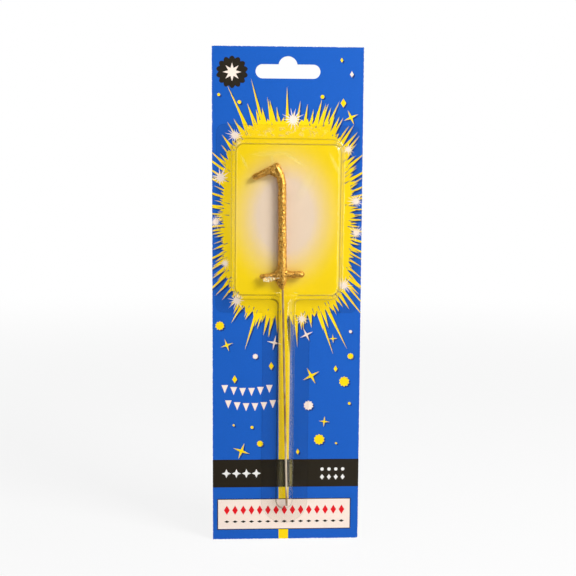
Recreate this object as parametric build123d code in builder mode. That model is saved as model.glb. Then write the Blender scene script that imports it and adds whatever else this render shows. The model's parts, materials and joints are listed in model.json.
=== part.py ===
from build123d import *
from math import cos, radians, sin
import os

# Carded numeral sparkler: a hang card, a clear thermoformed blister sealed to its face, and a dipped
# wire sparkler shaped as the numeral one that lies loose in the blister's pocket.
# Millimetres. +Z is up and the printed face looks along -Y. The origin is the top of the hang slot, where
# a display peg bears, on the card's back face.

# Card and hang slot
card_thick = 0.6
card_side = 1.85
card_foot = 8.7
slot_width = 32.5
slot_height = 7.0
slot_rise = 11.0
slot_bump_radius = 4.8
slot_margin = 4.8

# Blister film, flange and bubble
film = 0.35
flange_drop = 38.7
flange_side = 8.0
flange_end = 6.9
flange_corner = 4.0
bubble_width = 56.5
bubble_corner = 6.0
bubble_side_draft = 1.7
bubble_end_draft = 2.8
bubble_edge = 1.6

# Stem channel of the blister and the tail of flange round it
channel_width = 9.5
channel_draft = 1.6
channel_edge = 1.0
channel_throat = 3.0
throat_sink = 0.15
tail_border = 7.35

# Room that the pocket leaves round the sparkler
headroom = 12.05
footroom = 12.65
front_room = 3.0
stem_room = 1.5
stem_side_gap = 0.9
coat_gap = 0.4
end_gap = 0.95

# Sparkler: length over all, wire, stem, and the numeral's upright, leaning top, flag and foot bar
sparkler_length = 177.8
numeral_height = 56.8
wire = 1.1
wire_cover = 1.0
weld_step = 0.7
stem_offset = 0.4
stem_bend = 0.68
stem_bend_radius = 150.0
coat = 4.1
drip_drop = 8.0
drip_length = 5.5
drip_end = 2.2
lean_height = 10.3
lean_sideways = 2.6
lean_radius = 12.0
apex_radius = 1.6
flag_length = 13.5
flag_drop = 24.2
flag_root = 3.8
flag_tip = 2.4
bar_left = 11.8
bar_right = 11.3
bar_tilt = 2.7
bar_root = 3.7
bar_tip = 2.4

# Heights over the card's face
axis_height = coat_gap + coat / 2
bar_height = axis_height + weld_step
stem_front = axis_height + wire / 2
bubble_depth = bar_height + bar_root / 2 + front_room
channel_depth = stem_front + stem_room

# Levels, from the card's top edge down to its bottom edge. The channel's end is the centre of its round end.
card_top = slot_margin
slot_bottom = -slot_rise
flange_top = card_top - flange_drop
bubble_top = flange_top - flange_end
bubble_height = headroom + numeral_height + footroom
bubble_middle = bubble_top - bubble_height / 2
bubble_bottom = bubble_top - bubble_height
flange_bottom = bubble_bottom - flange_end
stem_end = bubble_top - headroom - sparkler_length
seat_radius = channel_width / 2 - film - channel_draft * stem_front / channel_depth
seat_reach = abs(stem_offset) + wire / 2
channel_end = stem_end + (seat_radius**2 - seat_reach**2) ** 0.5 - end_gap
tail_width = channel_width + 2 * tail_border
card_bottom = channel_end - tail_width / 2 - card_foot
flange_width = bubble_width + 2 * flange_side
card_width = flange_width + 2 * card_side
card_face = Plane.XZ.offset(card_thick)

# The loose stem stands near the middle of the channel's end and leans to its left wall at the bubble. It is
# bent a little where it enters the coat, so the numeral stands straighter.
stem_wall = film + channel_draft * axis_height / channel_depth
stem_sway = channel_width / 2 - stem_wall - wire / 2 - stem_side_gap
coat_length = numeral_height + drip_drop
bare_stem = sparkler_length - coat_length
stem_foot = Vector(stem_offset, -card_thick - axis_height, stem_end)
stem_up = Vector(-stem_sway - stem_offset, 0, bubble_bottom - stem_end).normalized()
numeral_plane = Plane(
    origin=stem_foot + stem_up * bare_stem,
    x_dir=stem_up.cross(Vector(0, -1, 0)).rotate(Axis.Y, stem_bend),
    z_dir=(0, -1, 0),
)
lean_start = coat_length - lean_height
apex = (-lean_sideways, coat_length - coat / 2)
flag_wire = flag_length - wire_cover
flag_end = (apex[0] - flag_wire * cos(radians(flag_drop)), apex[1] - flag_wire * sin(radians(flag_drop)))
flag_plane = Plane(
    origin=numeral_plane.from_local_coords((*apex, 0)),
    x_dir=-numeral_plane.x_dir.rotate(Axis.Y, -flag_drop),
    z_dir=(0, -1, 0),
)
bar_plane = Plane(
    origin=numeral_plane.from_local_coords((0, drip_drop, weld_step)),
    x_dir=numeral_plane.x_dir.rotate(Axis.Y, -bar_tilt),
    z_dir=(0, -1, 0),
)
bar_plane_left = Plane(origin=bar_plane.origin, x_dir=-bar_plane.x_dir, z_dir=(0, -1, 0))


def tapered_arm(plane, length, root, tip):
    """A round arm along a plane's x direction, with a flat root and a round tip."""
    with BuildPart() as arm:
        with BuildSketch(plane):
            with BuildLine():
                Line((0, root / 2), (length - tip / 2, tip / 2))
                CenterArc((length - tip / 2, 0), tip / 2, 90, -90)
                Polyline((length, 0), (0, 0), (0, root / 2))
            make_face()
        revolve(axis=Axis(plane.origin, plane.x_dir))
    return arm.part


def bubble_outline(height, wall):
    """Bubble's outline at a height over the card, with its sides moved in by a wall."""
    share = height / bubble_depth
    with BuildSketch(card_face.offset(height)) as outline:
        with Locations((0, bubble_middle)):
            RectangleRounded(
                bubble_width - 2 * bubble_side_draft * share - 2 * wall,
                bubble_height - 2 * bubble_end_draft * share - 2 * wall,
                bubble_corner - bubble_side_draft * share - wall,
            )
    return outline.sketch


def channel_outline(height, wall):
    """Channel's outline at a height over the card, flared where it opens into the bubble."""
    half = channel_width / 2 - channel_draft * height / channel_depth - wall
    mouth = bubble_bottom + bubble_end_draft * height / bubble_depth + wall + throat_sink
    flare = channel_throat + wall
    with BuildSketch(card_face.offset(height)) as outline:
        with BuildLine():
            CenterArc((half + flare, mouth - flare), flare, 90, 90)
            Line((half, mouth - flare), (half, channel_end))
            CenterArc((0, channel_end), half, 0, -180)
            Line((-half, channel_end), (-half, mouth - flare))
            CenterArc((-half - flare, mouth - flare), flare, 0, 90)
            Polyline(
                (-half - flare, mouth),
                (-half - flare, mouth + channel_width),
                (half + flare, mouth + channel_width),
                (half + flare, mouth),
            )
        make_face()
    return outline.sketch


def pocket(wall):
    """The blister's bubble and stem channel as one solid, with every face moved in by a wall."""
    with BuildPart() as room:
        loft([bubble_outline(0, wall), bubble_outline(bubble_depth - wall, wall)], ruled=True)
        loft([channel_outline(0, wall), channel_outline(channel_depth - wall, wall)], ruled=True)
        front = room.faces().sort_by(Axis.Y)[0]
        fillet(front.edges(), bubble_edge - wall)
        ledge = room.faces().filter_by(Axis.Y).sort_by(Axis.Y)[1]
        fillet(ledge.edges().sort_by(Axis.Z)[:-1], channel_edge - wall)
    return room.part


# Backing card with its hang slot
with BuildPart() as backing_card:
    with BuildSketch(Plane.XZ):
        with Locations((0, (card_top + card_bottom) / 2)):
            Rectangle(card_width, card_top - card_bottom)
        with Locations((0, slot_bottom + slot_height / 2)):
            SlotOverall(slot_width, slot_height, mode=Mode.SUBTRACT)
        with Locations((0, -slot_bump_radius)):
            Circle(slot_bump_radius, mode=Mode.SUBTRACT)
    extrude(amount=card_thick)
backing_card.part.label = "backing_card"

# Blister: flat flange, then the pocket's outside less its inside
with BuildPart() as blister:
    with BuildSketch(card_face):
        with Locations((0, (flange_top + flange_bottom) / 2)):
            RectangleRounded(flange_width, flange_top - flange_bottom, flange_corner)
        with Locations((0, (bubble_bottom + channel_end) / 2)):
            SlotCenterToCenter(bubble_bottom - channel_end, tail_width, rotation=90)
    extrude(amount=film)
    add(pocket(0))
    add(pocket(film), mode=Mode.SUBTRACT)
blister.part.label = "blister"

# Core wire: stem, upright and flag bent from one length
with BuildPart() as core_wire:
    with BuildLine(numeral_plane) as wire_path:
        FilletPolyline(
            stem_foot,
            (0, 0),
            (0, lean_start),
            apex,
            flag_end,
            radius=[stem_bend_radius, lean_radius, apex_radius],
        )
    with BuildSketch(Plane(wire_path.line @ 0, z_dir=wire_path.line % 0)):
        Circle(wire / 2)
    sweep()
core_wire.part.label = "core_wire"

# Cross wire of the foot bar, sunk into the core wire at the weld
with BuildPart() as cross_wire:
    with BuildLine(bar_plane) as bar_path:
        Line((-bar_left + wire_cover, 0), (bar_right - wire_cover, 0))
    with BuildSketch(Plane(bar_path.line @ 0, z_dir=bar_path.line % 0)):
        Circle(wire / 2)
    sweep()
    add(core_wire.part, mode=Mode.SUBTRACT)
cross_wire.part.label = "cross_wire"

# Dipped coat: upright and leaning top, drip, flag and foot bar, bored for both wires
with BuildPart() as sparkler_coat:
    with BuildLine(numeral_plane) as upright_path:
        FilletPolyline((0, drip_length), (0, lean_start), apex, radius=lean_radius)
    with BuildSketch(Plane(upright_path.line @ 0, z_dir=upright_path.line % 0)):
        Circle(coat / 2)
    sweep()
    with Locations(flag_plane.origin):
        Sphere(coat / 2)
    with BuildSketch(numeral_plane):
        with BuildLine():
            Polyline(
                (0, 0),
                (drip_end / 2, 0),
                (coat / 2, drip_length),
                (0, drip_length),
                close=True,
            )
        make_face()
    revolve(axis=Axis(numeral_plane.origin, numeral_plane.y_dir))
    add(tapered_arm(flag_plane, flag_length, flag_root, flag_tip))
    add(tapered_arm(bar_plane, bar_right, bar_root, bar_tip))
    add(tapered_arm(bar_plane_left, bar_left, bar_root, bar_tip))
    add(core_wire.part, mode=Mode.SUBTRACT)
    add(cross_wire.part, mode=Mode.SUBTRACT)
sparkler_coat.part.label = "sparkler_coat"

os.makedirs("parts", exist_ok=True)
for piece in (backing_card, blister, core_wire, cross_wire, sparkler_coat):
    export_step(piece.part, f"parts/{piece.part.label}.step")
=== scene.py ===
"""Dresses a packed, carded numeral sparkler: printed card, clear film, wires, dipped coat and studio.

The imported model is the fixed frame, in metres. +Z is up, the printed face looks along -Y, and the origin
is the top of the hang slot on the card's back face.
"""

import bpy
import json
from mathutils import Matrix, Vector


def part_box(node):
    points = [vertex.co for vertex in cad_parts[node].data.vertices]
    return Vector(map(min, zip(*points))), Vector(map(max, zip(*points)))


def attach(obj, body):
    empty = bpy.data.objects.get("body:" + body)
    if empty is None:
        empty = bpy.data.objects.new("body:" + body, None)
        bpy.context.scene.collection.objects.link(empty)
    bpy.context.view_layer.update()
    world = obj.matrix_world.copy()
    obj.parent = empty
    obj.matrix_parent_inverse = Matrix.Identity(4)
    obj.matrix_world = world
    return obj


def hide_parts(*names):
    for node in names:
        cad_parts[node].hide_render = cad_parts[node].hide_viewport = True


bl_info = {
    "name": "Carded Numeral Sparkler",
    "version": (1, 0, 0),
    "blender": (4, 5, 0),
    "location": "View3D > Sidebar > Sparkler",
    "description": "Dresses a packed sparkler card with its print, film, wires, coat and studio",
    "category": "Object",
}

import json
import math
import random

import bmesh
import bpy
from bpy.props import FloatProperty, FloatVectorProperty, IntProperty, PointerProperty
from mathutils import Matrix, Vector, noise

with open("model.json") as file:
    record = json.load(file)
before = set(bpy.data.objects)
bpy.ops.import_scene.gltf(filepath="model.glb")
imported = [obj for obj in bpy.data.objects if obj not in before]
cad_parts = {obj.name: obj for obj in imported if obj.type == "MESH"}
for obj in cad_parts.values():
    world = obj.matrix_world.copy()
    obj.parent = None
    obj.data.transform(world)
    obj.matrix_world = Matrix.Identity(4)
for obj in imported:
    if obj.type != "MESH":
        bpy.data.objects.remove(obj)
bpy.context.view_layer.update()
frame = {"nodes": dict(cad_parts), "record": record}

# Places that come from the frame
MM = 0.001
CARD_LOW, CARD_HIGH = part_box("backing_card")
FILM_LOW, FILM_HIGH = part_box("blister")
COAT_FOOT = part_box("sparkler_coat")[0].z
WIRE_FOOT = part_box("core_wire")[0].z
FACE = CARD_LOW.y
STEM = next(mount for mount in frame["record"]["mounts"] if mount["name"] == "stem")
WHITE = (1.0, 1.0, 1.0, 1.0)

# Print: every ink is a thin film, and inks lie on each other in steps. Points closer than SAME are one point
SAME = 0.001 * MM
INK_STEP = 0.006 * MM
INK_THICK = 0.004 * MM
PRINT_MARGIN = 0.06 * MM
SHADOW_SHIFT = (0.7 * MM, -0.7 * MM)
PANEL_RULE = 0.45 * MM
BADGE = (-28 * MM, -8 * MM)

# Sunburst: number of rays, a ray's share of its room, shortest and longest ray, and how deep its foot sinks
NEEDLES = (76, 0.55, 5 * MM, 25 * MM, 3 * MM)
RAYS = (132, 1.0, 1.5 * MM, 13 * MM, 0.0)

# Discs that confetti stays out of, as across, level and radius: the badge, the hang slot and the bunting
NO_CONFETTI = (
    (*BADGE, 13 * MM),
    (0.0, -7 * MM, 21 * MM),
    (-27 * MM, -173 * MM, 9 * MM),
    (-18 * MM, -173 * MM, 9 * MM),
    (-11 * MM, -173 * MM, 8 * MM),
)

# Bunting: left end and level of each string, pennants on a string, their pitch, width and length, and the sag
BUNTING = ((-33.5 * MM, -168.5 * MM), (-31.7 * MM, -176.5 * MM))
PENNANTS = 6
PENNANT_PITCH = 4.6 * MM
PENNANT_WIDTH = 3.4 * MM
PENNANT_LENGTH = 4.2 * MM
BUNTING_SAG = 1.6 * MM

# Film: its gap over the card, its cut rim, the radius where its tail leaves the flange, the steps of each
# stretch of a ring, which points of a ring are the channel's, and the angle from which an edge looks sharp
FILM_GAP = 0.05 * MM
RIM = 0.4 * MM
FLANGE_THROAT = 0.6 * MM
STRETCH = 12
CHANNEL = slice(6 * STRETCH, 12 * STRETCH + 1)
SHARP = math.radians(50)

# A vertex attribute for painted shade on the film, from 0 to 1, that stands in for the dark lines refraction
# draws where the film bends, and its values: at the cut rim, round the bubble's foot and front, and at the
# channel's left and right foot
BEND_SHADE = "bend_shade"
RIM_DARK = 0.15
FOOT_DARK = 0.4
FRONT_DARK = 0.7
# Painted shade on the channel's feet is darker on the left, away from the key lamp on the right
CHANNEL_LEFT_DARK = 0.9
CHANNEL_RIGHT_DARK = 0.3

# Painted highlights as pale streaks: along creases of the bubble's front, over its front edge beside the
# channel's mouth, then painted reflections along the channel: across and up from the film's top, length and
# width in mm, slope in degrees, and strength
PAINTED_HIGHLIGHTS = (
    (-22.0, -18.5, 10.0, 2.4, -63.0, 0.12),
    (-8.0, -17.0, 9.0, 2.0, -88.0, 0.09),
    (2.5, -17.0, 18.0, 2.8, -33.0, 0.11),
    (23.5, -20.0, 18.0, 3.0, -64.0, 0.13),
    (9.0, -30.0, 24.0, 8.0, 59.0, 0.06),
    (-9.0, -14.5, 28.0, 4.0, 3.0, 0.07),
    # Painted highlight along the front edge on each side of the channel's mouth
    (-4.8, -84.1, 4.4, 0.7, 0.0, 0.30),
    (4.2, -84.1, 3.4, 0.7, -6.0, 0.22),
    # Painted reflections of the channel's walls, over the band and along the channel
    (-2.9, -179.7, 26.0, 4.4, 90.35, 0.045),
    (2.5, -138.0, 130.0, 2.4, 90.35, 0.05),
    (2.5, -179.7, 26.0, 2.6, 90.35, 0.12),
)

# Coat stations of the drip and of the web on its left: across and up from the coat's end, and radius, in mm
DRIP = ((0.0, 0.75, 0.72), (-0.1, 2.0, 0.95), (-0.2, 3.3, 1.55), (-0.3, 4.8, 2.05))
DRIP_WEB = ((-2.3, 5.8, 1.45), (-1.6, 4.2, 1.45), (-0.95, 2.7, 1.25), (-0.2, 1.3, 0.7))

# Coat stations of the flag and of the foot bar's arms: share of the length, and radius in mm
FLAG = ((0.0, 2.0), (0.35, 1.85), (0.7, 1.7), (0.885, 1.5))
LEFT_ARM = ((0.0, 1.9), (0.30, 1.55), (0.60, 1.40), (0.905, 1.12))
RIGHT_ARM = ((0.0, 1.95), (0.45, 1.80), (0.72, 1.75), (0.83, 1.72), (0.925, 0.85))

# Height over the foot bar at which each arm's web leaves the upright
LEFT_CROOK = 3.2 * MM
RIGHT_CROOK = 1.2 * MM

# Lumps of the coat, from coarse to fine: height in mm, and lumps per metre
LUMPS = ((0.10, 420), (0.12, 850), (0.08, 1700), (0.03, 3200))

# Chip in the paint of the left arm: across, below the foot bar and out of it, and its reach
CHIP_PLACE = (-6.4 * MM, 1.5 * MM, 0.9 * MM)
CHIP_REACH = Vector((3.6, 1.5, 1.0)) * MM

# Flake, in mm: its start and run along the left arm, its least and further hang, its crumple, its place
# under the bar's axis and in front of it, how far it leans out, and its thickness
FLAKE_START = 1.4
FLAKE_RUN = 8.6
FLAKE_LEAST = 0.4
FLAKE_HANG = 1.7
FLAKE_CRUMPLE = 0.8
FLAKE_UNDER = 0.5
FLAKE_FRONT = 0.75
FLAKE_LEAN = 0.9
FLAKE_THICK = 0.16

# Where the wire turns brown: from where to where under the coat, and over the wire's end
UPPER_BROWNING = (94 * MM, 64 * MM)
LOWER_BROWNING = (3 * MM, 13 * MM)

# Lamps, in metres: way from the card's middle, width and height. The floor is a disc
KEY_LAMP = ((0.54, -0.50, 0.48), 0.36, 0.36)
FILL_LAMP = ((-0.70, -0.55, 0.20), 0.60, 0.60)
STRIP_LAMP = ((0.22, -0.66, -0.04), 0.08, 0.60)
FLOOR_RADIUS = 4.0


# Settings that a user would change


def tint(name, description, default):
    """A colour setting, as linear red, green and blue."""
    return FloatVectorProperty(
        name=name, description=description, default=default, subtype="COLOR", size=3, min=0.0, max=1.0
    )


def span(name, description, millimetres):
    """A length setting, given in millimetres."""
    return FloatProperty(
        name=name, description=description, default=millimetres * MM, unit="LENGTH", precision=5
    )


def turn(name, description, degrees):
    """An angle setting, given in degrees."""
    return FloatProperty(
        name=name, description=description, default=math.radians(degrees), subtype="ANGLE"
    )


def share(name, description, default):
    """A setting from 0 to 1."""
    return FloatProperty(
        name=name, description=description, default=default, min=0.0, max=1.0, subtype="FACTOR"
    )


class PrintSettings(bpy.types.PropertyGroup):
    """Inks of the card's printed face, and the sizes of what they print."""

    board: tint("Board", "Bare board at the cut edges and on the back", (0.80, 0.79, 0.76))
    blue: tint("Flood blue", "Ink that floods the face", (0.0065, 0.100, 0.485))
    deep_blue: tint("Shadow blue", "Printed shadow of each motif", (0.008, 0.040, 0.190))
    yellow: tint("Yellow", "Sunburst, stripe and confetti", (0.94, 0.665, 0.001))
    glow: tint("Glow", "Pale middle of the sunburst", (0.81, 0.645, 0.50))
    cream: tint("Cream", "Sparks, bunting and panel", (0.90, 0.76, 0.66))
    black: tint("Black", "Band and badge", (0.019, 0.014, 0.007))
    red: tint("Red", "Lozenges on the panel", (0.74, 0.006, 0.012))
    halo_width: span("Halo width", "Width of the solid middle of the sunburst", 64.0)
    halo_height: span("Halo height", "Height of the solid middle of the sunburst", 98.0)
    halo_level: span("Halo level", "Height of the sunburst's centre", -81.5)
    glow_width: span("Glow width", "Width of the pale middle", 47.0)
    glow_height: span("Glow height", "Height of the pale middle", 61.0)
    glow_across: span("Glow offset", "Sideways place of the pale middle", -1.0)
    glow_level: span("Glow level", "Height of the pale middle's centre", -79.8)
    stripe_width: span("Stripe width", "Width of the yellow stripe at the card's foot", 5.0)
    stripe_spread: span("Stripe spread", "How much wider the stripe is at the sunburst's centre", 1.5)
    stripe_across: span("Stripe offset", "Sideways place of the stripe", -1.15)
    band_rise: span("Band rise", "Band's lower edge above the card's foot", 28.0)
    band_height: span("Band height", "Height of the black band", 14.8)
    panel_rise: span("Panel rise", "Panel's lower edge above the card's foot", 5.1)
    panel_height: span("Panel height", "Height of the cream panel", 16.7)
    panel_width: span("Panel width", "Width of the cream panel", 70.0)
    panel_across: span("Panel offset", "Sideways place of the cream panel", -0.8)
    seed: IntProperty(name="Seed", description="Seed of the rays' lengths and the confetti", default=7)


class FilmSettings(bpy.types.PropertyGroup):
    """Clear thermoformed film."""

    clear: tint("Clear", "What one crossing of the film lets through, seen square on", (0.990, 0.990, 0.985))
    # Edge is painted shade: the film darkened at its bends, standing in for refraction there
    edge: tint("Edge", "What one crossing lets through where the film is bent", (0.66, 0.64, 0.58))
    # This colour also paints the highlight streaks along the creases and the channel
    frost_and_highlight: tint("Frost", "Unbonded spots of the heat seal", (0.95, 0.82, 0.28))
    thickness: span("Thickness", "Thickness of the film over the inks", 0.30)
    gloss: share("Roughness", "Roughness of the film's reflections", 0.07)
    bubble_width: span("Bubble width", "Width of the bubble's foot", 56.5)
    bubble_height: span("Bubble height", "Height of the bubble's foot", 81.5)
    bubble_corner: span("Bubble corner", "Corner radius of the bubble's foot", 6.0)
    bubble_edge: span("Bubble edge", "Radius round the bubble's front", 1.6)
    side_draft: span("Side draft", "How far a side leans in over the bubble's depth", 1.7)
    end_draft: span("End draft", "How far an end leans in over the bubble's depth", 2.8)
    flange_end: span("Flange end", "Flange above and below the bubble", 6.9)
    flange_corner: span("Flange corner", "Corner radius of the flange", 4.0)
    channel_width: span("Channel width", "Width of the stem channel inside its foot radius", 8.8)
    channel_depth: span("Channel depth", "Depth of the stem channel", 4.5)
    channel_draft: span("Channel draft", "How far a wall leans in over the channel's depth", 1.6)
    channel_edge: span("Channel edge", "Radius round the channel's front", 1.0)
    throat: span("Throat", "Radius where the channel opens into the bubble", 3.0)
    tail_width: span("Tail width", "Width of the flange round the channel", 24.2)
    foot: span("Foot radius", "Radius where a wall meets the flange", 0.7)
    ripple: span("Ripple", "How far the drawn film waves", 0.05)
    crown: span("Crown", "How far the channel's front bulges", 0.30)
    askew: turn("Askew", "How far the blister is turned on the card", 0.35)


class SparklerSettings(bpy.types.PropertyGroup):
    """Wires and dipped coat of the sparkler."""

    gold: tint("Gold", "Gold paint of the coat", (0.79, 0.40, 0.060))
    bright_gold: tint("Bright gold", "Worn tops of the coat's grains", (1.0, 0.74, 0.20))
    dark_gold: tint("Dark gold", "Hollows between the coat's grains", (0.21, 0.080, 0.012))
    chip: tint("Chip", "Pale mass where the paint has flaked", (0.86, 0.70, 0.42))
    wire: tint("Wire", "Drawn steel of the bare stem", (0.90, 0.76, 0.58))
    # Brown laid on the upper stem and on the wire's end
    brown_wire: tint("Burnt wire", "Stained steel of the upper stem and of its end", (0.34, 0.19, 0.07))
    coat: span("Coat", "Diameter of the coated upright", 4.1)
    lean: turn("Lean", "Lean of the upright to the left", 0.63)
    drip: span("Drip", "From the coat's end up to the foot bar", 8.0)
    numeral_height: span("Numeral height", "From the foot bar to the numeral's top", 56.8)
    top_height: span("Top height", "Height of the leaning top", 10.3)
    top_across: span("Top across", "How far the top leans to the left", 2.6)
    flag_length: span("Flag length", "Length of the numeral's flag", 13.5)
    flag_drop: turn("Flag drop", "Slope of the flag", 24.2)
    bar_left: span("Bar left", "Foot bar to the left of the upright", 11.8)
    bar_right: span("Bar right", "Foot bar to the right of the upright", 11.3)
    bar_tilt: turn("Bar tilt", "Tilt of the foot bar", 2.7)
    bar_out: span("Bar out", "How far the bar lies in front of the upright", 0.3)
    voxel: span("Voxel", "Fineness of the coat's mesh", 0.17)


class StudioSettings(bpy.types.PropertyGroup):
    """Camera, lamps and floor."""

    lens: FloatProperty(name="Lens", description="Focal length", default=62.6, unit="CAMERA")
    eye: FloatVectorProperty(
        name="Eye", description="Camera's place", default=(-0.0245, -0.5098, -0.0598), subtype="TRANSLATION"
    )
    azimuth: turn("Azimuth", "Camera's turn about the vertical", -2.82)
    elevation: turn("Elevation", "How far the camera looks down", 6.34)
    roll: turn("Roll", "Camera's turn about its own axis", 0.33)
    key_power: FloatProperty(name="Key", description="Power of the key lamp in watts", default=7.6)
    fill_power: FloatProperty(name="Fill", description="Power of the fill lamp in watts", default=0.8)
    strip_power: FloatProperty(name="Strip", description="Power of the tall strip lamp in watts", default=0.7)
    room_light: FloatProperty(name="Room", description="Light from all round", default=0.23)
    floor: tint("Floor", "Pale floor", (0.90, 0.90, 0.90))


# Materials


class Nodes:
    """Adds and links the nodes of one material or world."""

    def __init__(self, owner):
        owner.use_nodes = True
        self.tree = owner.node_tree
        self.tree.nodes.clear()

    def add(self, kind, inputs=None, output=0, **settings):
        """A new node with its settings and inputs, each a value or a socket. Gives one of its outputs."""
        node = self.tree.nodes.new("ShaderNode" + kind)
        for key, value in settings.items():
            setattr(node, key, value)
        for key, value in (inputs or {}).items():
            if isinstance(value, bpy.types.NodeSocket):
                self.tree.links.new(value, node.inputs[key])
            else:
                node.inputs[key].default_value = value
        return node.outputs[output]

    def place(self):
        """Object coordinates, in metres."""
        return self.add("TexCoord", output="Object")

    def axis(self, vector, name):
        """One axis of a vector."""
        return self.add("SeparateXYZ", {0: vector}, output=name)

    def math(self, operation, *values, clamp=False):
        """One operation on one, two or three values."""
        return self.add("Math", dict(enumerate(values)), operation=operation, use_clamp=clamp)

    def grain(self, vector, feature, detail=2.0, roughness=0.5):
        """Noise whose lumps are about as large as feature, from 0 to 1."""
        inputs = {"Vector": vector, "Scale": 1 / feature, "Detail": detail, "Roughness": roughness}
        return self.add("TexNoise", inputs, output="Fac")

    def ramp(self, value, low, high, start=0.0, end=1.0, smooth=True):
        """A value's range from low to high, turned into one from start to end."""
        inputs = {"Value": value, "From Min": low, "From Max": high, "To Min": start, "To Max": end}
        return self.add("MapRange", inputs, interpolation_type="SMOOTHSTEP" if smooth else "LINEAR")

    def blend(self, factor, first, second):
        """Two colours mixed by a factor."""
        inputs = {0: factor, 6: opaque(first), 7: opaque(second)}
        return self.add("Mix", inputs, output=2, data_type="RGBA")

    def far(self, place, centre, reach, slope=0.0):
        """Distance from a centre, as a share of a reach along each axis, turned about Y by a slope."""
        inputs = {"Vector": place, "Location": centre, "Rotation": (0.0, -slope, 0.0), "Scale": reach}
        local = self.add("Mapping", inputs, vector_type="TEXTURE")
        return self.add("VectorMath", {0: local}, output="Value", operation="LENGTH")

    def uneven(self, value, place, feature, depth, detail=2.0):
        """A value that noise moves up and down by up to a depth."""
        shift = self.ramp(self.grain(place, feature, detail), 0.0, 1.0, -depth, depth, smooth=False)
        return self.math("ADD", value, shift)

    def mirror_rays(self):
        """1 for rays that gloss or a clear piece sends on, else 0."""
        glossy = self.add("LightPath", output="Is Glossy Ray")
        return self.math("MAXIMUM", glossy, self.add("LightPath", output="Is Transmission Ray"))

    def bump(self, height, distance, strength=1.0):
        """A normal that follows a height."""
        return self.add("Bump", {"Height": height, "Distance": distance, "Strength": strength})

    def surface(self, shader):
        """Sets what the material shows."""
        self.add_output("OutputMaterial", shader)

    def background(self, shader):
        """Sets what the world shows."""
        self.add_output("OutputWorld", shader)

    def add_output(self, kind, shader):
        """Links a shader to a new output node."""
        output = self.tree.nodes.new("ShaderNode" + kind)
        self.tree.links.new(shader, output.inputs["Surface"])


def opaque(colour):
    """A colour with full alpha. A socket stays as it is."""
    return colour if isinstance(colour, bpy.types.NodeSocket) else (*colour, 1.0)


def new_material(name):
    """A new material and the maker of its nodes."""
    material = bpy.data.materials.new(name)
    return material, Nodes(material)


def mottled(n, place, colour, feature, depth):
    """A colour that is unevenly laid on, lighter and darker by a share of itself."""
    lumps = n.grain(place, feature, detail=3.0)
    dark = tuple(c * (1 - depth) for c in colour)
    light = tuple(min(c * (1 + depth), 1.0) for c in colour)
    return n.blend(lumps, dark, light)


def board_material(settings):
    """Coated board: blue flood on the face, white worn edges, and a bare fibrous back."""
    material, n = new_material("printed_board")
    place = n.place()
    fibre = n.grain(place, 0.9 * MM, detail=4.0, roughness=0.65)
    board = n.blend(n.ramp(fibre, 0.3, 0.7), tuple(c * 0.9 for c in settings.board), settings.board)
    blue = mottled(n, place, settings.blue, 0.45 * MM, 0.10)
    middle = (CARD_LOW + CARD_HIGH) / 2
    half = (CARD_HIGH - CARD_LOW) / 2
    side = n.math("SUBTRACT", half.x, n.math("ABSOLUTE", n.axis(place, "X")))
    end = n.math("SUBTRACT", half.z, n.math("ABSOLUTE", n.math("SUBTRACT", n.axis(place, "Z"), middle.z)))
    rim = n.math("MINIMUM", side, end)
    scuff = n.ramp(n.grain(place, 0.9 * MM, detail=5.0, roughness=0.7), 0.40, 0.75, 0.0, 0.22 * MM)
    kept = n.math("GREATER_THAN", rim, scuff)
    face = n.math("LESS_THAN", n.axis(place, "Y"), FACE + 0.01 * MM)
    printed = n.math("MULTIPLY", face, kept)
    shader = {
        "Base Color": n.blend(printed, board, blue),
        "Roughness": n.ramp(printed, 0.0, 1.0, 0.85, 0.50),
        "Specular IOR Level": 0.15,
        "Normal": n.bump(fibre, 0.02 * MM, 0.5),
    }
    n.surface(n.add("BsdfPrincipled", shader))
    return material


def ink_material(name, colour, glow=None):
    """Coated ink, unevenly laid. A glow is a paler colour, and the centre and reach of its soft ellipse."""
    material, n = new_material(name)
    place = n.place()
    laid = mottled(n, place, colour, 0.5 * MM, 0.07)
    if glow:
        pale_colour, centre, reach = glow
        spread = n.uneven(n.far(place, centre, reach), place, 0.5 * MM, 0.12)
        pale = n.math("POWER", n.ramp(spread, 0.60, 1.36, 1.0, 0.0, smooth=False), 2.0)
        laid = n.blend(pale, laid, mottled(n, place, pale_colour, 0.5 * MM, 0.05))
    shader = {
        "Base Color": laid,
        "Roughness": n.ramp(n.grain(place, 0.8 * MM), 0.2, 0.8, 0.45, 0.58),
        "Specular IOR Level": 0.15,
        "Normal": n.bump(n.grain(place, 0.7 * MM, detail=4.0), 0.02 * MM, 0.4),
    }
    n.surface(n.add("BsdfPrincipled", shader))
    return material


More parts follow.
